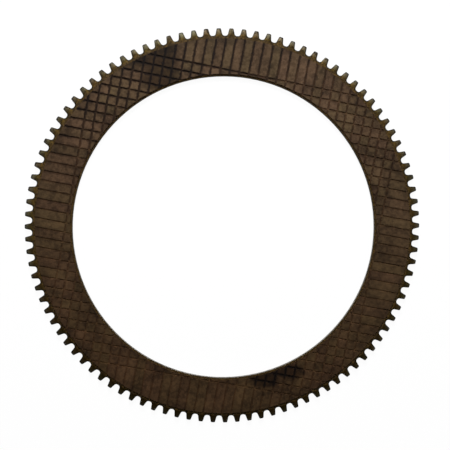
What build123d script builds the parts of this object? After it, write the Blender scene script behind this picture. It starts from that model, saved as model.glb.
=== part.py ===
from build123d import *

import math
import os

# Clutch friction disc: a flat steel ring with gear teeth round its rim,
# and a ring of friction lining bonded to each face.
# The origin is the centre of the bore, half way through the steel.
# +Z points out of the front face. Lengths are in millimetres, angles in degrees.

# Gear teeth round the rim
tooth_count = 99
module = 4.0
addendum = 3.2
dedendum = 4.0
backlash = 0.38
pressure_angle = 14.5
root_chamfer = 1.1
first_tooth_angle = 0.85

# Steel core, its width taken from the pitch circle in to the bore
core_thickness = 3.2
core_width = 44.0

# Friction lining, bonded to both faces and held back from bore and teeth
lining_thickness = 1.0
bore_land = 2.0
rim_land = 3.0

# Oil grooves, sawn right across the lining in two passes at right angles
groove_pitch = 9.525
groove_width = 1.6
groove_depth = 0.65
groove_angle = -10.84
first_pass_offset = -1.2
second_pass_offset = 0.5

# How far the saws run past the lining
saw_overrun = 2.0

# Radii worked out from the sizes above
pitch_radius = module * tooth_count / 2
base_radius = pitch_radius * math.cos(math.radians(pressure_angle))
tip_radius = pitch_radius + addendum
root_radius = pitch_radius - dedendum
bore_radius = pitch_radius - core_width
lining_inner_radius = bore_radius + bore_land
lining_outer_radius = root_radius - rim_land


def involute(angle):
    """How far an involute has swung round its base circle, for a pressure angle in radians."""
    return math.tan(angle) - angle


def flank_point(radius):
    """A point on the upper flank of the tooth space that is centred on the X axis."""
    tooth_thickness = math.pi * module / 2 - backlash
    half_tooth_at_pitch = tooth_thickness / (2 * pitch_radius)
    swing_at_pitch = involute(math.radians(pressure_angle))
    swing_here = involute(math.acos(base_radius / radius))
    half_tooth = half_tooth_at_pitch + swing_at_pitch - swing_here
    half_space = math.pi / tooth_count - half_tooth
    return Vector(radius * math.cos(half_space), radius * math.sin(half_space))


def tooth_space():
    """The corners of one tooth space, from tip to tip, with the corners of its root cut off.

    A flank is so short for its gear that its involute is straight to a tenth of a millimetre,
    and the arcs across a root and a tip are flat to a few hundredths.
    """
    root = flank_point(root_radius)
    tip = flank_point(tip_radius)
    along_flank = (tip - root).normalized() * root_chamfer
    along_root = Vector(0, root_chamfer)
    upper = [root - along_root, root + along_flank, tip]
    lower = [Vector(corner.X, -corner.Y) for corner in reversed(upper)]
    return lower + upper


def toothed_outline():
    """The rim seen from the front: the same tooth space, over and over round the centre."""
    pitch_angle = 360 / tooth_count
    first_space_angle = first_tooth_angle + pitch_angle / 2
    space = tooth_space()
    corners = [
        corner.rotate(Axis.Z, first_space_angle + i * pitch_angle)
        for i in range(tooth_count)
        for corner in space
    ]
    return make_face(Polyline(*corners, close=True))


def core_plate():
    """The steel ring with its teeth."""
    return extrude(toothed_outline() - Circle(bore_radius), core_thickness / 2, both=True)


def lining_ring():
    """The flat ring that both linings are stamped as."""
    return Circle(lining_outer_radius) - Circle(lining_inner_radius)


def groove_pass(angle, offset):
    """The slots of one pass of the gang of saws: its outermost two just clear the bore."""
    half_count = math.ceil(lining_inner_radius / groove_pitch + 1 / 2)
    slot_length = 2 * (lining_outer_radius + saw_overrun)
    slots = GridLocations(groove_pitch, groove_pitch, 2 * half_count, 1) * Rectangle(
        groove_width, slot_length
    )
    return [Rot(Z=angle) * Pos(X=offset) * slot for slot in slots]


def front_lining():
    """The front lining: a thin backing, and the pads that both passes of grooves leave on it."""
    grooves = groove_pass(groove_angle, first_pass_offset)
    grooves += groove_pass(groove_angle + 90, second_pass_offset)
    backing_thickness = lining_thickness - groove_depth
    backing = extrude(lining_ring(), backing_thickness)
    pads = extrude(Pos(Z=backing_thickness) * (lining_ring() - grooves), groove_depth)
    return Pos(Z=core_thickness / 2) * (backing + pads)


def back_lining():
    """The back lining, with a plain face."""
    return Pos(Z=-core_thickness / 2) * extrude(lining_ring(), -lining_thickness)


os.makedirs("parts", exist_ok=True)
for make_piece in (core_plate, front_lining, back_lining):
    piece = make_piece()
    piece.label = make_piece.__name__
    export_step(piece, f"parts/{make_piece.__name__}.step")
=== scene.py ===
"""Looks of a clutch friction disc that lies flat.

The disc is a toothed steel ring with a grooved lining on each face. Every length is in metres, in
the frame of the disc: the origin is the centre of the bore and +Z points out of the front face,
towards the camera.
"""

from __future__ import annotations

import logging
import math
from collections.abc import Callable
from dataclasses import dataclass
from enum import Enum

import bmesh
import bpy
from mathutils import Matrix, Vector

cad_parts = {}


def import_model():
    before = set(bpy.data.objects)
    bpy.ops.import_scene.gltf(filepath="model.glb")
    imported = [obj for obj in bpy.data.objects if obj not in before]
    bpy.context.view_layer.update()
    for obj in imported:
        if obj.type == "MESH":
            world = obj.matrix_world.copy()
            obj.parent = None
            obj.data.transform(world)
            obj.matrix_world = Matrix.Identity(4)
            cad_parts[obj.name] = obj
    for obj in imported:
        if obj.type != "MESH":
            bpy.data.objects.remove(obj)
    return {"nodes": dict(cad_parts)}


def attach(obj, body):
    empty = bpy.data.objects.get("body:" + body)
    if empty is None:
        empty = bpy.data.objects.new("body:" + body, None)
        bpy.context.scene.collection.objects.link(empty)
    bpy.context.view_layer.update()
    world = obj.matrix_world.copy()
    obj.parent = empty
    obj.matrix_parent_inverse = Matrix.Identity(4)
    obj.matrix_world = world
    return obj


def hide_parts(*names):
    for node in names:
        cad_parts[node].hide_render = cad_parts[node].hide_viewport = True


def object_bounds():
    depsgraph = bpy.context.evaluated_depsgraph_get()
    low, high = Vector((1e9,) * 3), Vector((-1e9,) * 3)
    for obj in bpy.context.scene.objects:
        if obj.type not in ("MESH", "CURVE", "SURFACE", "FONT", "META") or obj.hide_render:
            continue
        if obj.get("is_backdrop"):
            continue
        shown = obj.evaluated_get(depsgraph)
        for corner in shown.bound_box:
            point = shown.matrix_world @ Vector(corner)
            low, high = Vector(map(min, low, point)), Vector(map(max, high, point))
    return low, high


log = logging.getLogger("clutch_disc")

MM = 0.001
Colour = tuple[float, float, float]
Triple = tuple[float, float, float]
Span = tuple[float, float]
WHITE: Colour = (1.0, 1.0, 1.0)

# How the solids' meshes are cleaned and their edges told apart
WELD_WITHIN = 0.002 * MM
FLAT_WITHIN = math.radians(0.5)
LEAST_WALL = 1 * MM
UPRIGHT_WITHIN = 0.05 * MM
SHARP_FROM = math.radians(32)
SMOOTH_TO = math.radians(35)


class Face(Enum):
    """A face of the disc, with the way that it points along Z."""

    FRONT = 1
    BACK = -1


@dataclass(frozen=True)
class DiscSizes:
    """The sizes of the disc that the looks follow.

    Args:
        tooth_count: how many teeth the rim has.
        first_tooth_angle: bearing of the first tooth from +X, in radians.
        tip_radius: radius of the tooth tips.
        pitch_radius: radius at which the tooth thickness is given.
        root_radius: radius of the bottom of the tooth spaces.
        half_tooth: half the thickness of a tooth at the pitch radius.
        flank_slope: how much of that half is lost for each length further out.
        bore_radius: radius of the bore.
        lining_outer_radius: outer radius of both linings.
        core_thickness: thickness of the steel.
        lining_thickness: thickness of one lining.
        groove_depth: depth of the grooves in a lining.
        groove_pitch: distance from one groove to the next.
        groove_angle: turn of the first pass of grooves, in radians.
        pass_offsets: how far the first and the second pass lie off the centre.
        grooves_each_side: grooves of one pass on each side of its middle.
    """

    tooth_count: int = 99
    first_tooth_angle: float = math.radians(0.85)
    tip_radius: float = 201.2 * MM
    pitch_radius: float = 198.0 * MM
    root_radius: float = 194.0 * MM
    half_tooth: float = 2.95 * MM
    flank_slope: float = 0.27
    bore_radius: float = 154.0 * MM
    lining_outer_radius: float = 191.0 * MM
    core_thickness: float = 3.2 * MM
    lining_thickness: float = 1.0 * MM
    groove_depth: float = 0.65 * MM
    groove_pitch: float = 9.525 * MM
    groove_angle: float = math.radians(-10.84)
    pass_offsets: tuple[float, float] = (-1.2 * MM, 0.5 * MM)
    grooves_each_side: int = 17

    @property
    def face_height(self) -> float:
        """Height of the rubbing faces above the middle of the steel."""
        return self.core_thickness / 2 + self.lining_thickness

    @property
    def groove_reach(self) -> float:
        """How far from its middle the outermost groove of a pass lies."""
        return (self.grooves_each_side - 0.5) * self.groove_pitch


class Sheet:
    """A material's node sheet, with short calls for the nodes that the finishes are drawn with."""

    def __init__(self, name: str) -> None:
        """Opens an empty sheet.

        Args:
            name: name of the material.
        """
        self.material = bpy.data.materials.new(name)
        self.material.use_nodes = True
        self.tree = self.material.node_tree
        self.tree.nodes.clear()

    def node(self, kind: str, **settings: object) -> bpy.types.Node:
        """Adds a node.

        Args:
            kind: the type of node.
            settings: attributes to set on it.

        Returns:
            The new node.
        """
        made = self.tree.nodes.new(kind)
        for name, value in settings.items():
            setattr(made, name, value)
        return made

    def feed(self, socket: bpy.types.NodeSocket, value: object) -> None:
        """Links an output to an input, or sets the input where the value is a constant.

        Args:
            socket: the input.
            value: an output socket, a number, a colour or a vector.
        """
        if isinstance(value, bpy.types.NodeSocket):
            self.tree.links.new(value, socket)
        elif socket.type == "RGBA":
            socket.default_value = (*value, 1.0)
        else:
            socket.default_value = value

    def place(self) -> bpy.types.NodeSocket:
        """The place of a point on the piece, in metres."""
        return self.node("ShaderNodeTexCoord").outputs["Object"]

    def axes(self, vector: object) -> tuple[bpy.types.NodeSocket, ...]:
        """Takes a vector apart into its X, Y and Z."""
        made = self.node("ShaderNodeSeparateXYZ")
        self.feed(made.inputs["Vector"], vector)
        return tuple(made.outputs)

    def steepness(self) -> bpy.types.NodeSocket:
        """How far the surface leans from lying flat: 0 on the faces of the disc, 1 on its walls."""
        upward = self.axes(self.node("ShaderNodeTexCoord").outputs["Normal"])[2]
        return self.number("SUBTRACT", 1.0, self.number("ABSOLUTE", upward))

    def vector(
        self, operation: str, first: object, second: object = (0.0, 0.0, 0.0)
    ) -> bpy.types.NodeSocket:
        """Works out a vector, or a length, from one or two vectors.

        Args:
            operation: the operation's name.
            first: first vector.
            second: second vector, where the operation has one.

        Returns:
            The output.
        """
        made = self.node("ShaderNodeVectorMath", operation=operation)
        self.feed(made.inputs[0], first)
        self.feed(made.inputs[1], second)
        return made.outputs["Value" if operation in ("LENGTH", "DISTANCE") else "Vector"]

    def number(self, operation: str, first: object, second: object = 0.0) -> bpy.types.NodeSocket:
        """Works out a number from one or two.

        Args:
            operation: the operation's name.
            first: first number.
            second: second number, where the operation has one.

        Returns:
            The output.
        """
        made = self.node("ShaderNodeMath", operation=operation)
        self.feed(made.inputs[0], first)
        self.feed(made.inputs[1], second)
        return made.outputs["Value"]

    def plus(self, base: object, value: object, factor: float) -> bpy.types.NodeSocket:
        """Adds a number, multiplied by a factor, to another."""
        return self.number("ADD", base, self.number("MULTIPLY", value, factor))

    def from_axis(self, place: object) -> bpy.types.NodeSocket:
        """How far a place is from the axis of the disc."""
        return self.vector("LENGTH", self.vector("MULTIPLY", place, (1.0, 1.0, 0.0)))

    def turned(self, place: object, angle: float) -> bpy.types.NodeSocket:
        """Reads a place in axes that are turned about Z.

        Args:
            place: the place.
            angle: turn of the axes, in radians.

        Returns:
            The place in the turned axes.
        """
        mapping = self.node("ShaderNodeMapping")
        self.feed(mapping.inputs["Vector"], place)
        self.feed(mapping.inputs["Rotation"], (0.0, 0.0, -angle))
        return mapping.outputs["Vector"]

    def share(self, value: object, low: float, high: float) -> bpy.types.NodeSocket:
        """How far a value has come from low to high, as a smooth share from 0 to 1.

        Args:
            value: the value.
            low: where the share is 0.
            high: where the share is 1.

        Returns:
            The share.
        """
        made = self.node("ShaderNodeMapRange", interpolation_type="SMOOTHSTEP")
        self.feed(made.inputs["Value"], value)
        self.feed(made.inputs["From Min"], low)
        self.feed(made.inputs["From Max"], high)
        return made.outputs["Result"]

    def noise(self, place: object, grain: float, detail: float = 3.0) -> bpy.types.NodeSocket:
        """Cloudy noise from 0 to 1.

        Args:
            place: where to read it.
            grain: size of its clouds, in metres.
            detail: how many finer layers it has.

        Returns:
            The noise.
        """
        made = self.node("ShaderNodeTexNoise")
        self.feed(made.inputs["Vector"], place)
        self.feed(made.inputs["Scale"], 1.0 / grain)
        self.feed(made.inputs["Detail"], detail)
        return made.outputs["Fac"]

    def wander(self, place: object, grain: float, reach: float) -> bpy.types.NodeSocket:
        """A length that wanders over a reach, to both sides of 0, in clouds as large as the grain."""
        centred = self.number("SUBTRACT", self.noise(place, grain), 0.5)
        return self.number("MULTIPLY", centred, reach)

    def random(self, vector: object) -> bpy.types.NodeSocket:
        """A number from 0 to 1 that is the same wherever the vector is the same."""
        made = self.node("ShaderNodeTexWhiteNoise", noise_dimensions="3D")
        self.feed(made.inputs["Vector"], vector)
        return made.outputs["Value"]

    def tinted(self, colour: object, tint: object) -> bpy.types.NodeSocket:
        """A colour multiplied by a tint."""
        return self.mix(1.0, colour, tint, "MULTIPLY")

    def mix(
        self, amount: object, first: object, second: object, blend: str = "MIX"
    ) -> bpy.types.NodeSocket:
        """Mixes two colours.

        Args:
            amount: share of the second colour.
            first: first colour.
            second: second colour.
            blend: how they are mixed.

        Returns:
            The colour.
        """
        made = self.node("ShaderNodeMix", data_type="RGBA", blend_type=blend)
        factor, colour_a, colour_b = made.inputs[0], made.inputs[6], made.inputs[7]
        self.feed(factor, amount)
        self.feed(colour_a, first)
        self.feed(colour_b, second)
        return made.outputs[2]

    def bump(self, height: object, strength: float, distance: float) -> bpy.types.NodeSocket:
        """A normal from a height.

        Args:
            height: the height, from 0 to 1.
            strength: how strongly it shows.
            distance: how high a height of 1 is.

        Returns:
            The normal.
        """
        made = self.node("ShaderNodeBump")
        self.feed(made.inputs["Height"], height)
        self.feed(made.inputs["Strength"], strength)
        self.feed(made.inputs["Distance"], distance)
        return made.outputs["Normal"]

    def surface(self, **sockets: object) -> bpy.types.Material:
        """Ends the sheet in a shader for a solid surface.

        Args:
            sockets: values for the shader's inputs, with _ for each space in their names.

        Returns:
            The material.
        """
        shader = self.node("ShaderNodeBsdfPrincipled")
        for name, value in sockets.items():
            self.feed(shader.inputs[name.replace("_", " ")], value)
        output = self.node("ShaderNodeOutputMaterial")
        self.feed(output.inputs["Surface"], shader.outputs["BSDF"])
        return self.material


class RoomSheet(Sheet):
    """The node sheet of the room that the scene is lit by, with the same short calls."""

    def __init__(self, name: str) -> None:
        """Opens an empty sheet.

        Args:
            name: name of the room.
        """
        room = bpy.data.worlds.new(name)
        bpy.context.scene.world = room
        room.use_nodes = True
        self.tree = room.node_tree
        self.tree.nodes.clear()


@dataclass(frozen=True)
class Stain:
    """A soft-edged patch where oil has seeped in.

    Args:
        centre: its middle.
        reach: its half width and half height, as distances.
    """

    centre: Triple
    reach: Triple


@dataclass(frozen=True)
class LiningFinish:
    """The dark brown moulded fibre of a lining: dirt and painted shade in its grooves, stains on its
    face.

    Args:
        dark: colour of the darker clouds.
        light: colour of the lighter clouds.
        fleck: colour of the fibre ends.
        plum: what the redder pads multiply the colour by.
        moss: what the greener pads multiply it by.
        low_painted_shade: what painted shade multiplies it by towards the bottom of the disc.
        rubbed: what it is multiplied by along the rims of the lining.
        oil: what a stain multiplies it by.
        groove_painted_light: what the painted light in the second pass of grooves multiplies it by.
        low_groove_dirt_and_shade: what the dirt and painted shade of a faint groove multiply it by,
            towards the bottom.
        high_groove_dirt_and_shade: what the dirt and painted shade of a faint groove multiply it by,
            towards the top.
        packed: what the dirt of a bold groove, and dirt smeared over the face, multiplies it by.
        cloud: size of the clouds.
        cloud_span: noise at which a cloud starts, and is whole.
        blotch: size of the blotches in the dirt, and twice that of the mottle on the face.
        mottle_span: noise at which the mottle starts, and is whole.
        shade_parts: shares of clouds, mottle and luck of the pad in the shade of the face.
        fibre: size of the fibre ends.
        fibre_relief: how high they stand.
        fleck_span: noise at which a fibre end shows, and is whole.
        fleck_share: how much of its own colour it has.
        low_shade_slant: how much higher a point counts, against the painted shade, for each length to
            the right.
        upper_part: heights between which the upper part begins, in radii of the bore.
        skin: how close to the face, or to the floor of a groove, still counts as being on it.
        wall_lean: how far a surface leans where it starts to count as a groove's wall, and does.
        smear: how far from a groove's middle its dirt is smeared over the face.
        smear_grain: size of the waves in the edge of that.
        smear_parts: its strength for dirt or the upper part, for dirt besides, and everywhere.
        groove_light_edge: distances from a second groove's middle where its painted light starts, and
            is whole.
        groove_light_most: how much painted light there is at the bottom of the disc.
        groove_light_lost: how much less there is in the upper part.
        dirt_slant: how much higher a point counts for packed dirt, for each length to the right.
        dirt_heights: heights between which the dirt packs harder.
        dirt_gain: how much thicker it gets.
        dirt_span: thickness at which a groove turns bold, and is.
        outer_rim: how far from the lining's outer rim the rubbing starts, and is whole.
        inner_rim: the same from the bore.
        inner_rim_heights: where that starts and is whole going down, in radii of the bore.
        stain_grain: size of the tongues in the edge of a stain.
        stain_tongue: how long they are, as a share of its reach.
        stain_span: distance where a stain starts, and is whole, in reaches.
        roughness: roughness of the face.
        gloss: how strongly the face reflects.
        stains: the patches that oil has darkened.
    """

    dark: Colour = (0.0195, 0.0107, 0.0046)
    light: Colour = (0.0850, 0.0525, 0.0272)
    fleck: Colour = (0.145, 0.099, 0.056)
    plum: Colour = (1.04, 0.96, 1.02)
    moss: Colour = (0.97, 1.01, 0.92)
    low_painted_shade: Colour = (0.78, 0.70, 0.58)
    rubbed: Colour = (0.80, 0.80, 0.78)
    oil: Colour = (0.36, 0.31, 0.23)
    groove_painted_light: Colour = (1.22, 1.16, 1.10)
    low_groove_dirt_and_shade: Colour = (0.84, 0.73, 0.62)
    high_groove_dirt_and_shade: Colour = (0.56, 0.44, 0.34)
    packed: Colour = (0.16, 0.11, 0.07)
    cloud: float = 22 * MM
    cloud_span: Span = (0.30, 0.70)
    blotch: float = 8 * MM
    mottle_span: Span = (0.35, 0.65)
    shade_parts: Triple = (0.38, 0.40, 0.22)
    fibre: float = 1.3 * MM
    fibre_relief: float = 0.15 * MM
    fleck_span: Span = (0.56, 0.78)
    fleck_share: float = 0.4
    low_shade_slant: float = 0.15
    upper_part: Span = (-0.4, 0.5)
    skin: float = 0.1 * MM
    wall_lean: Span = (0.4, 0.9)
    smear: float = 1.9 * MM
    smear_grain: float = 3 * MM
    smear_parts: Triple = (0.35, 0.35, 0.15)
    groove_light_edge: Span = (1.4 * MM, 0.8 * MM)
    groove_light_most: float = 0.85
    groove_light_lost: float = 0.45
    dirt_slant: float = -0.3
    dirt_heights: Span = (90 * MM, 190 * MM)
    dirt_gain: float = 0.42
    dirt_span: Span = (0.50, 0.90)
    outer_rim: Span = (10 * MM, 2 * MM)
    inner_rim: Span = (12 * MM, 3 * MM)
    inner_rim_heights: Span = (0.9, 0.2)
    stain_grain: float = 9 * MM
    stain_tongue: float = 0.9
    stain_span: Span = (1.75, 1.05)
    roughness: float = 0.76
    gloss: float = 0.12
    stains: tuple[Stain, ...] = (
        Stain((-70 * MM, 173 * MM, 0.0), (26 * MM, 17 * MM, 1.0)),
        Stain((-65 * MM, 154 * MM, 0.0), (20 * MM, 16 * MM, 1.0)),
        Stain((65 * MM, -148 * MM, 0.0), (17 * MM, 9 * MM, 1.0)),
        Stain((42 * MM, -157 * MM, 0.0), (17 * MM, 9 * MM, 1.0)),
    )

    def material(self, sizes: DiscSizes, face: Face) -> bpy.types.Material:
        """Draws the finish.

        Args:
            sizes: sizes of the disc.
            face: the face that the lining is on.

        Returns:
            The material.
        """
        sheet = Sheet(f"friction_lining_{face.name.lower()}")
        place = sheet.place()
        across, up, height = sheet.axes(place)
        stained = self._stained(sheet, place)
        from_middle, pad = self._pad(sheet, place, sizes)
        unshaded_face = self._face_colour(sheet, place, pad)
        # Painted shade: the face darkens towards the bottom of the disc.
        slanted = sheet.plus(up, across, self.low_shade_slant)
        lower = sheet.share(slanted, sizes.bore_radius, -sizes.bore_radius)
        with_painted_shade = sheet.mix(lower, unshaded_face, sheet.tinted(unshaded_face, self.low_painted_shade))
        worn = sheet.mix(self._beside_rims(sheet, place, up, sizes), with_painted_shade, self.rubbed, "MULTIPLY")
        wet = sheet.mix(stained, worn, self.oil, "MULTIPLY")
        below_face = sheet.number("SUBTRACT", sizes.face_height, sheet.number("ABSOLUTE", height))
        on_floor = sheet.share(below_face, self.skin, sizes.groove_depth - self.skin)
        in_groove = sheet.number("MAXIMUM", on_floor, sheet.share(sheet.steepness(), *self.wall_lean))
        upper_start, upper_end = self.upper_part
        upper = sheet.share(up, upper_start * sizes.bore_radius, upper_end * sizes.bore_radius)
        thickness = self._dirt_thickness(sheet, place, across, up, stained)
        # Groove floors and steep walls take this colour: packed dirt where it is thick, elsewhere dirt
        # and painted shade.
        dirt = sheet.mix(thickness, sheet.mix(upper, self.low_groove_dirt_and_shade, self.high_groove_dirt_and_shade), self.packed)
        to_first, to_second = self._to_grooves(sheet, from_middle, pad, sizes)
        nearest = sheet.number("MINIMUM", to_first, to_second)
        beside = self._smeared(sheet, place, nearest, thickness, upper)
        smeared_face = sheet.mix(beside, wet, self.packed, "MULTIPLY")
        dirty = sheet.mix(in_groove, smeared_face, sheet.tinted(wet, dirt))
        # Painted light brightens the second pass of grooves, where the key lamp's shadow falls, except
        # on packed dirt.
        groove_light = self._groove_light_share(sheet, to_second, thickness, upper)
        colour = sheet.mix(groove_light, dirty, sheet.tinted(wet, self.groove_painted_light))
        fibre = sheet.noise(place, self.fibre, 4.0)
        return sheet.surface(
            Base_Color=colour,
            Roughness=sheet.plus(self.roughness - 0.1, fibre, 0.2),
            Specular_IOR_Level=self.gloss,
            Normal=sheet.bump(fibre, 0.5, self.fibre_relief),
        )

    def _stained(self, sheet: Sheet, place: object) -> bpy.types.NodeSocket:
        """How strongly a point is stained, from 0 to 1, with ragged edges to each patch."""
        ragged = sheet.number("MULTIPLY", sheet.noise(place, self.stain_grain, 4.0), self.stain_tongue)
        total: object = 0.0
        for stain in self.stains:
            from_centre = sheet.vector("SUBTRACT", place, stain.centre)
            in_reaches = sheet.vector("DIVIDE", from_centre, stain.reach)
            spread = sheet.number("ADD", sheet.vector("LENGTH", in_reaches), ragged)
            total = sheet.number("MAXIMUM", total, sheet.share(spread, *self.stain_span))
        return total

    def _smeared(
        self, sheet: Sheet, place: object, nearest: object, thickness: object, upper: object
    ) -> bpy.types.NodeSocket:
        """How strongly a groove's dirt is smeared over the face beside it, from 0 to 1."""
        for_either, for_dirt, everywhere = self.smear_parts
        strength = sheet.number("MULTIPLY", sheet.number("MAXIMUM", thickness, upper), for_either)
        strength = sheet.plus(strength, thickness, for_dirt)
        strength = sheet.number("ADD", strength, everywhere)
        ragged = sheet.number("ADD", nearest, sheet.wander(place, self.smear_grain, 2 * self.smear))
        return sheet.number("MULTIPLY", sheet.share(ragged, self.smear, self.smear / 3), strength)

    def _groove_light_share(
        self, sheet: Sheet, to_second: object, thickness: object, upper: object
    ) -> bpy.types.NodeSocket:
        """How much painted light brightens the second pass of grooves, from 0 to 1: none on packed
        dirt.
        """
        in_second = sheet.number("SUBTRACT", sheet.share(to_second, *self.groove_light_edge), thickness)
        lost = sheet.number("MULTIPLY", upper, self.groove_light_lost)
        most_here = sheet.number("SUBTRACT", self.groove_light_most, lost)
        return sheet.number("MULTIPLY", sheet.number("MAXIMUM", in_second, 0.0), most_here)

    def _pad(
        self, sheet: Sheet, place: object, sizes: DiscSizes
    ) -> tuple[bpy.types.NodeSocket, bpy.types.NodeSocket]:
        """A point's place among the grooves, and the middle of the pad between them that it is on."""
        turned = sheet.turned(place, sizes.groove_angle)
        offsets = (*sizes.pass_offsets, 0.0)
        reach = sizes.groove_reach
        from_middle = sheet.vector("SUBTRACT", turned, offsets)
        floor = sheet.vector("MAXIMUM", from_middle, (-reach, -reach, 0.0))
        held = sheet.vector("MINIMUM", floor, (reach, reach, 0.0))
        half = sizes.groove_pitch / 2
        snap = sheet.node("ShaderNodeVectorMath", operation="SNAP")
        sheet.feed(snap.inputs[0], sheet.vector("ADD", held, (half, half, 0.0)))
        sheet.feed(snap.inputs[1], (sizes.groove_pitch, sizes.groove_pitch, 1.0))
        return from_middle, snap.outputs["Vector"]

    def _beside_rims(
        self, sheet: Sheet, place: object, up: object, sizes: DiscSizes
    ) -> bpy.types.NodeSocket:
        """How near a point is to a rim of the lining: the inner one doesn't count at the top."""
        radius = sheet.from_axis(place)
        rim, bore = sizes.lining_outer_radius, sizes.bore_radius
        outer = sheet.share(radius, *(rim - reach for reach in self.outer_rim))
        inner = sheet.share(radius, *(bore + reach for reach in self.inner_rim))
        below = sheet.share(up, *(bore * height for height in self.inner_rim_heights))
        return sheet.number("MAXIMUM", outer, sheet.number("MULTIPLY", inner, below))

    def _to_grooves(
        self, sheet: Sheet, from_middle: object, pad: object, sizes: DiscSizes
    ) -> tuple[bpy.types.NodeSocket, ...]:
        """How far a point is from the middle of the nearest groove of each pass."""
        half, reach = sizes.groove_pitch / 2, sizes.groove_reach
        off_pad = sheet.vector("ABSOLUTE", sheet.vector("SUBTRACT", from_middle, pad))
        within = sheet.vector("SUBTRACT", (half, half, 0.0), off_pad)
        outward = sheet.vector("ABSOLUTE", from_middle)
        beyond = sheet.vector("SUBTRACT", outward, (reach, reach, 0.0))
        return sheet.axes(sheet.vector("MAXIMUM", within, beyond))[:2]

    def _face_colour(self, sheet: Sheet, place: object, pad: object) -> bpy.types.NodeSocket:
        """The colour of the rubbing face: clouds, fibre ends, and a shade and a tint for each pad."""
        clouds = sheet.share(sheet.noise(place, self.cloud, 5.0), *self.cloud_span)
        mottle = sheet.share(sheet.noise(place, self.blotch / 2, 4.0), *self.mottle_span)
        of_clouds, of_mottle, of_luck = self.shade_parts
        shade = sheet.number("MULTIPLY", clouds, of_clouds)
        shade = sheet.plus(shade, mottle, of_mottle)
        shade = sheet.plus(shade, sheet.random(pad), of_luck)
        ground = sheet.mix(shade, self.dark, self.light)
        flecks = sheet.share(sheet.noise(place, self.fibre, 2.0), *self.fleck_span)
        speckled = sheet.mix(sheet.number("MULTIPLY", flecks, self.fleck_share), ground, self.fleck)
        other = sheet.vector("ADD", pad, (1.0, 0.0, 0.0))
        tint = sheet.mix(sheet.random(other), self.plum, self.moss)
        return sheet.tinted(speckled, tint)

    def _dirt_thickness(
        self, sheet: Sheet, place: object, across: object, up: object, stained: object
    ) -> bpy.types.NodeSocket:
        """How thick the dirt in the grooves is, from 0 to 1.

        It is packed hard towards the upper left and in the stains, and comes and goes elsewhere.
        """
        towards = sheet.share(sheet.plus(up, across, self.dirt_slant), *self.dirt_heights)
        thick = sheet.plus(sheet.noise(place, self.blotch), towards, self.dirt_gain)
        return sheet.number("MAXIMUM", sheet.share(thick, *self.dirt_span), stained)


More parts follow.
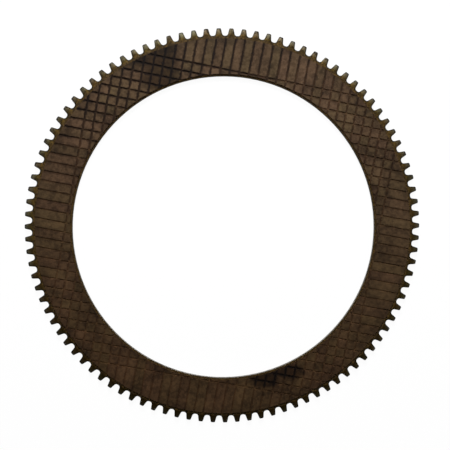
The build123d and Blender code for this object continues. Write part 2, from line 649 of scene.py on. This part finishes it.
@dataclass(frozen=True)
class SteelFinish:
    """The core's plain steel under a film of burnt oil.

    The film is brown and dull beside the lining, gold at the foot of the teeth, olive on their middles
    and grey at their tips. The punched walls are nearly black, and painted shade darkens the face
    along its edges and round the bore, whose wall is paler. Painted shade also darkens the uppermost
    teeth, and the teeth towards the bottom of the disc.

    Args:
        land: colour beside the lining, where it is darkest.
        gilt: colour of the paler flecks there.
        foot: colour at the foot of the teeth.
        middle: colour half way up them.
        tip: colour at their tips.
        shear_wall_and_edge_shade: colour of the punched walls, and of the painted shade along the
            edges beside them.
        turned: colour of the wall of the bore.
        olive: what the greener teeth multiply the colour by.
        straw: what the yellower teeth multiply it by.
        top_painted_shade: what the painted shade on the uppermost teeth multiplies it by.
        low_painted_shade: what the painted shade towards the bottom of the disc multiplies it by.
        dirt: colour of the dirt spots.
        edge_shade_reach: how far the painted shade of a punched edge reaches on to the face.
        edge_grain: size of the waves in the edge of that.
        zone_grain: size of the waves between the film's colours.
        zone_reach: how far they reach.
        teeth_start: where the film of the teeth starts, and is whole, outside the root circle.
        foot_height: how far outside the root circle the foot's colour starts to fade.
        tip_margin: how far past the tips the painted shade towards the bottom starts.
        slant: how much lower a point counts, for the painted shade on the teeth, for each length to
            the right.
        top_shade_start: height where the painted shade on the uppermost teeth starts, in radii of the
            bore.
        gilding: size of the paler flecks.
        gilding_span: noise at which a fleck starts, and is whole.
        spot: size of the dirt spots.
        spot_span: noise at which a spot starts, and is whole.
        spot_share: how much of the dirt's colour a spot has.
        bore_wall: how far outside the bore its wall's colour starts to fade.
        wall_lean: how far a surface leans where it starts to count as a wall, and does.
        drawn_out: how fast the grain changes along X, Y and Z.
        grain: size of the grain.
        grain_relief: how high it stands.
        metallic: how metallic the film leaves the teeth.
        roughness: roughness of the film.
        gloss: how strongly the dull parts reflect.
    """

    land: Colour = (0.023, 0.0135, 0.0040)
    gilt: Colour = (0.060, 0.0350, 0.0100)
    foot: Colour = (0.076, 0.048, 0.0145)
    middle: Colour = (0.110, 0.089, 0.053)
    tip: Colour = (0.110, 0.104, 0.089)
    shear_wall_and_edge_shade: Colour = (0.016, 0.013, 0.008)
    turned: Colour = (0.150, 0.138, 0.120)
    olive: Colour = (0.90, 0.98, 0.86)
    straw: Colour = (1.10, 1.0, 0.92)
    top_painted_shade: Colour = (0.60, 0.60, 0.62)
    low_painted_shade: Colour = (0.48, 0.45, 0.30)
    dirt: Colour = (0.024, 0.016, 0.008)
    edge_shade_reach: float = 1.4 * MM
    edge_grain: float = 2 * MM
    zone_grain: float = 4 * MM
    zone_reach: float = 3 * MM
    teeth_start: Span = (-1.4 * MM, 0.8 * MM)
    foot_height: float = 0.5 * MM
    tip_margin: float = 1 * MM
    slant: float = 0.25
    top_shade_start: float = 0.6
    gilding: float = 1.8 * MM
    gilding_span: Span = (0.40, 0.62)
    spot: float = 2.8 * MM
    spot_span: Span = (0.46, 0.64)
    spot_share: float = 0.75
    bore_wall: float = 1 * MM
    wall_lean: Span = (0.05, 0.4)
    drawn_out: Triple = (1.0, 1.0, 0.12)
    grain: float = 0.5 * MM
    grain_relief: float = 0.05 * MM
    metallic: float = 1.0
    roughness: float = 0.60
    gloss: float = 0.04

    def material(self, sizes: DiscSizes) -> bpy.types.Material:
        """Draws the finish.

        Args:
            sizes: sizes of the disc.

        Returns:
            The material.
        """
        sheet = Sheet("oiled_steel")
        place = sheet.place()
        from_first_tooth = sheet.turned(place, sizes.first_tooth_angle)
        across, up, _ = sheet.axes(from_first_tooth)
        radius = sheet.from_axis(place)
        bearing = sheet.number("ARCTAN2", up, across)
        count = sheet.number("MULTIPLY", bearing, sizes.tooth_count / math.tau)
        tooth = sheet.number("ROUND", count)
        zone = sheet.number("ADD", radius, sheet.wander(place, self.zone_grain, self.zone_reach))
        on_teeth = sheet.share(zone, *(sizes.root_radius + reach for reach in self.teeth_start))
        rightward, height, _ = sheet.axes(place)
        slanted = sheet.number("SUBTRACT", height, sheet.number("MULTIPLY", rightward, self.slant))
        # Painted shade darkens the uppermost teeth.
        upper = sheet.share(slanted, sizes.bore_radius * self.top_shade_start, sizes.lining_outer_radius)
        tooth_film = self._tooth_film(sheet, zone, tooth, sizes)
        top_shaded = sheet.mix(upper, tooth_film, self.top_painted_shade, "MULTIPLY")
        # Painted shade darkens the teeth towards the bottom of the disc; the share held in oil is that
        # shade.
        lower = sheet.share(slanted, sizes.bore_radius / 2, -sizes.bore_radius)
        below_tip = sheet.share(zone, sizes.tip_radius + self.tip_margin, sizes.pitch_radius)
        oil = sheet.number("MULTIPLY", lower, below_tip)
        gilding = sheet.share(sheet.noise(place, self.gilding), *self.gilding_span)
        band = sheet.mix(gilding, self.land, self.gilt)
        with_painted_shade = sheet.mix(on_teeth, band, sheet.mix(oil, top_shaded, self.low_painted_shade, "MULTIPLY"))
        spots = sheet.share(sheet.noise(place, self.spot, 4.0), *self.spot_span)
        dirty = sheet.mix(sheet.number("MULTIPLY", spots, self.spot_share), with_painted_shade, self.dirt)
        off_centre = sheet.number("ABSOLUTE", sheet.number("SUBTRACT", count, tooth))
        # Painted shade: a dark band along the tooth outline and round the bore.
        edges = self._painted_edge_shade(sheet, place, radius, off_centre, sizes)
        face_colour = sheet.mix(edges, dirty, self.shear_wall_and_edge_shade)
        bore_wall_end = sizes.bore_radius + self.bore_wall
        outside_bore = sheet.share(radius, bore_wall_end, sizes.lining_outer_radius)
        wall_colour = sheet.mix(outside_bore, self.turned, self.shear_wall_and_edge_shade)
        on_wall = sheet.share(sheet.steepness(), *self.wall_lean)
        grain = sheet.noise(sheet.vector("MULTIPLY", place, self.drawn_out), self.grain)
        return sheet.surface(
            Base_Color=sheet.mix(on_wall, face_colour, wall_colour),
            Metallic=sheet.number("MULTIPLY", on_teeth, self.metallic),
            Roughness=sheet.plus(self.roughness - 0.06, spots, 0.2),
            Specular_IOR_Level=self.gloss,
            Normal=sheet.bump(grain, 0.3, self.grain_relief),
        )

    def _tooth_film(
        self, sheet: Sheet, zone: object, tooth: object, sizes: DiscSizes
    ) -> bpy.types.NodeSocket:
        """The film's colour up a tooth, each tooth a little different."""
        root, pitch, tip = sizes.root_radius, sizes.pitch_radius, sizes.tip_radius
        lower = sheet.mix(sheet.share(zone, root + self.foot_height, pitch), self.foot, self.middle)
        whole = sheet.mix(sheet.share(zone, pitch, tip), lower, self.tip)
        one_each = sheet.node("ShaderNodeCombineXYZ")
        sheet.feed(one_each.inputs["X"], tooth)
        luck = sheet.random(one_each.outputs["Vector"])
        return sheet.tinted(whole, sheet.mix(luck, self.olive, self.straw))

    def _painted_edge_shade(
        self, sheet: Sheet, place: object, radius: object, off_centre: object, sizes: DiscSizes
    ) -> bpy.types.NodeSocket:
        """How much painted shade the face has beside a punched edge and round the bore, from 0 to 1.
        """
        pitch_arc = sheet.number("MULTIPLY", radius, math.tau / sizes.tooth_count)
        beside_middle = sheet.number("MULTIPLY", off_centre, pitch_arc)
        past_pitch = sheet.number("SUBTRACT", radius, sizes.pitch_radius)
        lost = sheet.number("MULTIPLY", past_pitch, sizes.flank_slope)
        half_here = sheet.number("SUBTRACT", sizes.half_tooth, lost)
        to_flank = sheet.number("SUBTRACT", half_here, beside_middle)
        to_root = sheet.number("SUBTRACT", sizes.root_radius, radius)
        to_tip = sheet.number("SUBTRACT", sizes.tip_radius, radius)
        to_outline = sheet.number("MINIMUM", sheet.number("MAXIMUM", to_flank, to_root), to_tip)
        to_bore = sheet.number("SUBTRACT", radius, sizes.bore_radius - self.edge_shade_reach / 2)
        nearest = sheet.number("MINIMUM", to_outline, to_bore)
        ragged = sheet.number("ADD", nearest, sheet.wander(place, self.edge_grain, self.edge_shade_reach))
        return sheet.share(ragged, self.edge_shade_reach, self.edge_shade_reach / 4)


def only(select: list[bpy.types.Object]) -> None:
    """Selects these objects and no others, the last of them active.

    Args:
        select: the objects.
    """
    bpy.ops.object.select_all(action="DESELECT")
    for piece in select:
        piece.select_set(True)
    bpy.context.view_layer.objects.active = select[-1]


def merged_copy(source: bpy.types.Object, name: str) -> bpy.types.Object:
    """Copies a solid of the frame as a piece of its own, its triangles joined into flat faces.

    Args:
        source: the solid.
        name: name of the piece.

    Returns:
        The piece.
    """
    piece = bpy.data.objects.new(name, source.data.copy())
    piece.data.name = name
    piece.data.materials.clear()
    bpy.context.scene.collection.objects.link(piece)
    only([piece])
    bpy.ops.object.mode_set(mode="EDIT")
    bpy.ops.mesh.customdata_custom_splitnormals_clear()
    bpy.ops.mesh.select_all(action="SELECT")
    bpy.ops.mesh.remove_doubles(threshold=WELD_WITHIN)
    bpy.ops.mesh.dissolve_limited(angle_limit=FLAT_WITHIN)
    bpy.ops.object.mode_set(mode="OBJECT")
    return piece


def select_edges(
    piece: bpy.types.Object, wanted: Callable[[bmesh.types.BMEdge], bool]
) -> int:
    """Selects the edges of a piece that pass a test, in edit mode, and no others.

    Args:
        piece: the piece, in edit mode.
        wanted: the test, given one edge.

    Returns:
        How many were selected.
    """
    bpy.ops.mesh.select_mode(type="EDGE")
    bpy.ops.mesh.select_all(action="DESELECT")
    mesh = bmesh.from_edit_mesh(piece.data)
    found = [edge for edge in mesh.edges if wanted(edge)]
    for edge in found:
        edge.select_set(True)
    bmesh.update_edit_mesh(piece.data)
    return len(found)


def lies_along_axis(edge: bmesh.types.BMEdge) -> bool:
    """Whether an edge runs from one face of the disc to the other."""
    first, second = (corner.co for corner in edge.verts)
    upright = (first - second).xy.length < UPRIGHT_WITHIN
    return abs(first.z - second.z) > LEAST_WALL and upright


def turn_at(edge: bmesh.types.BMEdge) -> float:
    """How sharply the surface turns over an edge, in radians."""
    return edge.calc_face_angle(0.0)


@dataclass
class CorePlate:
    """The steel ring with its teeth, as punched: rounded tooth roots and a soft edge all round.

    Args:
        sizes: sizes of the disc.
        finish: its steel.
        root_round: how far the rounding of a root corner reaches.
        tip_round: how far the rounding of a tip corner reaches.
        edge_round: how far the rounding of the other edges reaches.
        corner_segments: faces across the rounding of a root or tip corner.
        edge_segments: faces across the rounding of the other edges.
        root_zone: how far outside the root circle a root corner may lie.
        tip_zone: how far inside the tip circle a tip corner may lie.
        least_turn: how sharply the surface turns over a root corner, at least.
    """

    sizes: DiscSizes
    finish: SteelFinish
    root_round: float = 0.62 * MM
    tip_round: float = 0.90 * MM
    edge_round: float = 0.35 * MM
    corner_segments: int = 3
    edge_segments: int = 2
    root_zone: float = 2 * MM
    tip_zone: float = 0.5 * MM
    least_turn: float = math.radians(15)

    def build(self, solid: bpy.types.Object) -> bpy.types.Object:
        """Makes the core from its solid.

        Args:
            solid: the solid of the frame.

        Returns:
            The piece.
        """
        piece = merged_copy(solid, "toothed_core")
        bpy.ops.object.mode_set(mode="EDIT")
        roundings = (
            (self._is_root_corner, self.root_round),
            (self._is_tip_corner, self.tip_round),
        )
        for is_corner, reach in roundings:
            corners = select_edges(piece, is_corner)
            bpy.ops.mesh.bevel(
                offset=reach, offset_type="OFFSET", segments=self.corner_segments, affect="EDGES"
            )
            log.info("rounded %d corners", corners)
        bpy.ops.object.mode_set(mode="OBJECT")
        ease_edges(piece, self.edge_round, self.edge_segments)
        dress(piece, self.finish.material(self.sizes))
        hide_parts("core_plate")
        return piece

    def _is_root_corner(self, edge: bmesh.types.BMEdge) -> bool:
        """Whether an edge is a corner in the root of a tooth space."""
        near_root = edge.verts[0].co.xy.length < self.sizes.root_radius + self.root_zone
        outside = edge.verts[0].co.xy.length > self.sizes.lining_outer_radius
        return lies_along_axis(edge) and near_root and outside and turn_at(edge) > self.least_turn

    def _is_tip_corner(self, edge: bmesh.types.BMEdge) -> bool:
        """Whether an edge is a corner of the tip of a tooth."""
        at_tip = edge.verts[0].co.xy.length > self.sizes.tip_radius - self.tip_zone
        return lies_along_axis(edge) and at_tip


@dataclass
class Lining:
    """A friction lining, its pads worn soft along their edges.

    Args:
        sizes: sizes of the disc.
        finish: its fibre.
        face: the face of the core that it is bonded to.
        edge_round: how far the wear of a pad's edge reaches.
    """

    sizes: DiscSizes
    finish: LiningFinish
    face: Face
    edge_round: float = 0.14 * MM

    def build(self, grooved_solid: bpy.types.Object) -> bpy.types.Object:
        """Makes the lining from the grooved solid, turned over for the back.

        Args:
            grooved_solid: the front lining's solid.

        Returns:
            The piece.
        """
        name = self.face.name.lower()
        piece = merged_copy(grooved_solid, f"{name}_friction_ring")
        if self.face is Face.BACK:
            self._turn_over()
        ease_edges(piece, self.edge_round, 1)
        dress(piece, self.finish.material(self.sizes, self.face))
        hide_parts(f"{name}_lining")
        return piece

    def _turn_over(self) -> None:
        """Mirrors the active mesh to the other face, with its faces still pointing outwards."""
        bpy.ops.object.mode_set(mode="EDIT")
        bpy.ops.mesh.select_all(action="SELECT")
        bpy.ops.transform.resize(value=(1.0, 1.0, -1.0), center_override=(0.0, 0.0, 0.0))
        bpy.ops.mesh.flip_normals()
        bpy.ops.object.mode_set(mode="OBJECT")


def ease_edges(piece: bpy.types.Object, reach: float, segments: int) -> None:
    """Rounds the sharp edges of a piece a little and smooths its shading.

    Args:
        piece: the piece.
        reach: how far the rounding reaches.
        segments: faces across the rounding.
    """
    only([piece])
    bevel = piece.modifiers.new("eased_edges", "BEVEL")
    bevel.width = reach
    bevel.segments = segments
    bevel.limit_method = "ANGLE"
    bevel.angle_limit = SHARP_FROM
    bevel.harden_normals = False
    bpy.ops.object.modifier_apply(modifier=bevel.name)
    bpy.ops.object.shade_smooth_by_angle(angle=SMOOTH_TO)


def dress(piece: bpy.types.Object, material: bpy.types.Material) -> None:
    """Gives a piece its material and its body.

    Args:
        piece: the piece.
        material: the material.
    """
    piece.data.materials.clear()
    piece.data.materials.append(material)
    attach(piece, "root")
    log.info("%s: %d faces", piece.name, len(piece.data.polygons))


@dataclass(frozen=True)
class PhotoCamera:
    """The camera, where the photograph was taken from.

    Args:
        focal_share: focal length as a share of the picture's width.
        radius_share: radius of the disc's tips in the picture as a share of its width.
        tilt_back: turn of the disc about the picture's horizontal, in radians.
        tilt_side: turn of the disc about its own vertical, in radians.
        roll: turn of the disc about the line of sight, in radians.
        shift: place of the bore's centre beside the line of sight, in radii of the tips.
    """

    focal_share: float = 600 / 450
    radius_share: float = 197.55 / 450
    tilt_back: float = math.radians(3.360)
    tilt_side: float = math.radians(2.810)
    roll: float = math.radians(0.061)
    shift: tuple[float, float] = (0.0007, -0.0210)

    def build(self, sizes: DiscSizes) -> bpy.types.Object:
        """Makes the camera and looks through it.

        Args:
            sizes: sizes of the disc.

        Returns:
            The camera.
        """
        data = bpy.data.cameras.new("photo_camera")
        data.lens = data.sensor_width * self.focal_share
        tilt = Matrix.Rotation(self.tilt_back, 3, "X") @ Matrix.Rotation(self.tilt_side, 3, "Y")
        turn = Matrix.Rotation(self.roll, 3, "Z") @ tilt
        distance = self.focal_share / self.radius_share
        seen = Vector((-self.shift[0], -self.shift[1], distance)) * sizes.tip_radius
        place = turn.transposed() @ seen + Vector((0.0, 0.0, sizes.core_thickness / 2))
        camera = bpy.data.objects.new("photo_camera", data)
        camera.matrix_world = Matrix.Translation(place) @ turn.transposed().to_4x4()
        bpy.context.scene.collection.objects.link(camera)
        bpy.context.scene.camera = camera
        return camera


@dataclass(frozen=True)
class Lamp:
    """A soft square lamp that looks at the disc.

    Args:
        name: its name.
        bearing: its bearing round the disc from +X, in radians.
        lean: its angle from straight above, in radians.
        distance: its distance from the disc.
        side: the length of its side.
        power: its power, in watts.
    """

    name: str
    bearing: float
    lean: float
    distance: float
    side: float
    power: float

    def build(self) -> None:
        """Hangs the lamp."""
        data = bpy.data.lights.new(self.name, "AREA")
        data.shape = "SQUARE"
        data.size = self.side
        data.energy = self.power
        out = math.sin(self.lean)
        across, up = math.cos(self.bearing), math.sin(self.bearing)
        towards = Vector((out * across, out * up, math.cos(self.lean)))
        lamp = bpy.data.objects.new(self.name, data)
        lamp.location = towards * self.distance
        lamp.rotation_mode = "QUATERNION"
        lamp.rotation_quaternion = towards.to_track_quat("Z", "Y")
        bpy.context.scene.collection.objects.link(lamp)


@dataclass(frozen=True)
class Studio:
    """A white floor in a low white wall, under soft lamps in a dim room.

    The floor is clear from below, where the room is bright, so that the disc's back can be seen.

    Args:
        floor_radius: radius of the wall round the floor.
        wall_height: height of the wall.
        sides: how many sides floor and wall have.
        shadow_share: how much of the floor's light the disc can shade.
        bounce: how much of the lamps' light the floor and wall throw back on the disc.
        room_light: strength of the room's own light.
        light_below: strength of its light under the floor.
        contact: how far above the floor a face is still lit from below.
    """

    floor_radius: float = 6.0
    wall_height: float = 1.6
    sides: int = 96
    shadow_share: float = 0.04
    bounce: float = 0.25
    room_light: float = 0.08
    light_below: float = 0.9
    contact: float = 2.0 * MM
    lamps: tuple[Lamp, ...] = (
        Lamp("key_lamp", math.radians(92), math.radians(56), 1.2, 0.45, 26.0),
        Lamp("right_lamp", math.radians(-18), math.radians(54), 1.6, 0.45, 2.8),
        Lamp("left_lamp", math.radians(160), math.radians(50), 1.5, 0.45, 1.8),
    )

    def build(self, height: float) -> None:
        """Lays the floor, puts the wall round it and hangs the lamps.

        Args:
            height: height of the floor.
        """
        half_wall = height + self.wall_height / 2
        bpy.ops.object.select_all(action="DESELECT")
        bpy.ops.mesh.primitive_circle_add(
            vertices=self.sides,
            radius=self.floor_radius,
            fill_type="NGON",
            location=(0.0, 0.0, height),
        )
        self._stage("floor", self._backdrop_material("white_floor", self.contact))
        bpy.ops.mesh.primitive_cylinder_add(
            vertices=self.sides,
            radius=self.floor_radius,
            depth=self.wall_height,
            end_fill_type="NOTHING",
            location=(0.0, 0.0, half_wall),
        )
        self._stage("wall", self._backdrop_material("white_wall", 0.0))
        for lamp in self.lamps:
            lamp.build()
        self._room()

    def _stage(self, name: str, material: bpy.types.Material) -> None:
        piece = bpy.context.active_object
        piece.name = name
        piece.data.materials.append(material)
        piece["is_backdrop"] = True

    def _backdrop_material(self, name: str, contact: float) -> bpy.types.Material:
        """White to the eye and in reflections, bar a faint shadow, and plain to all other light.

        Args:
            name: name of the material.
            contact: how near a thing lies for the light from below to reach it. Where this is past
                0, the surface is also clear from below.

        Returns:
            The material.
        """
        sheet = Sheet(name)
        path = sheet.node("ShaderNodeLightPath")
        seen = sheet.number("MAXIMUM", path.outputs["Is Camera Ray"], path.outputs["Is Glossy Ray"])
        seen = sheet.number("MAXIMUM", seen, path.outputs["Is Transmission Ray"])
        paper = sheet.node("ShaderNodeBsdfDiffuse")
        sheet.feed(paper.inputs["Color"], WHITE)
        dull = sheet.node("ShaderNodeBsdfDiffuse")
        sheet.feed(dull.inputs["Color"], (self.bounce, self.bounce, self.bounce))
        glow = sheet.node("ShaderNodeEmission")
        sheet.feed(glow.inputs["Color"], WHITE)
        lit, shady = glow.outputs["Emission"], paper.outputs["BSDF"]
        shaded = self._blend(sheet, self.shadow_share, lit, shady)
        whole = self._blend(sheet, seen, dull.outputs["BSDF"], shaded)
        if contact:
            below = sheet.node("ShaderNodeNewGeometry").outputs["Backfacing"]
            touched = sheet.number("LESS_THAN", path.outputs["Ray Length"], contact)
            clear = sheet.node("ShaderNodeBsdfTransparent").outputs["BSDF"]
            whole = self._blend(sheet, sheet.number("MAXIMUM", below, touched), whole, clear)
        output = sheet.node("ShaderNodeOutputMaterial")
        sheet.feed(output.inputs["Surface"], whole)
        return sheet.material

    def _blend(
        self, sheet: Sheet, amount: object, first: object, second: object
    ) -> bpy.types.NodeSocket:
        """Mixes two shaders, by the share of the second."""
        mixer = sheet.node("ShaderNodeMixShader")
        for socket, value in zip(mixer.inputs, (amount, first, second)):
            sheet.feed(socket, value)
        return mixer.outputs["Shader"]

    def _room(self) -> None:
        """Lights the room: dim and even from above, bright from below, and white to the eye."""
        sheet = RoomSheet("room")
        path = sheet.node("ShaderNodeLightPath")
        towards = sheet.axes(sheet.node("ShaderNodeTexCoord").outputs["Generated"])[2]
        from_below = sheet.number("LESS_THAN", towards, 0.0)
        lit = sheet.number("MULTIPLY", from_below, self.light_below - self.room_light)
        lit = sheet.number("ADD", lit, self.room_light)
        by_eye, through = path.outputs["Is Camera Ray"], path.outputs["Is Transmission Ray"]
        seen = sheet.number("MAXIMUM", by_eye, through)
        light = sheet.node("ShaderNodeBackground")
        sheet.feed(light.inputs["Color"], WHITE)
        sheet.feed(light.inputs["Strength"], sheet.number("MAXIMUM", lit, seen))
        output = sheet.node("ShaderNodeOutputWorld")
        sheet.feed(output.inputs["Surface"], light.outputs["Background"])


def main() -> None:
    """Builds the scene: the three pieces of the disc, the floor, the lamps and the camera."""
    logging.basicConfig(level=logging.INFO, format="%(name)s: %(message)s")
    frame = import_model()
    frame_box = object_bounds()
    nodes = frame["nodes"]
    sizes = DiscSizes()
    bpy.context.scene.view_settings.view_transform = "Standard"
    CorePlate(sizes, SteelFinish()).build(nodes["core_plate"])
    for face in Face:
        Lining(sizes, LiningFinish(), face).build(nodes["front_lining"])
    Studio().build(frame_box[0].z)
    PhotoCamera().build(sizes)


if __name__ == "__main__":
    main()
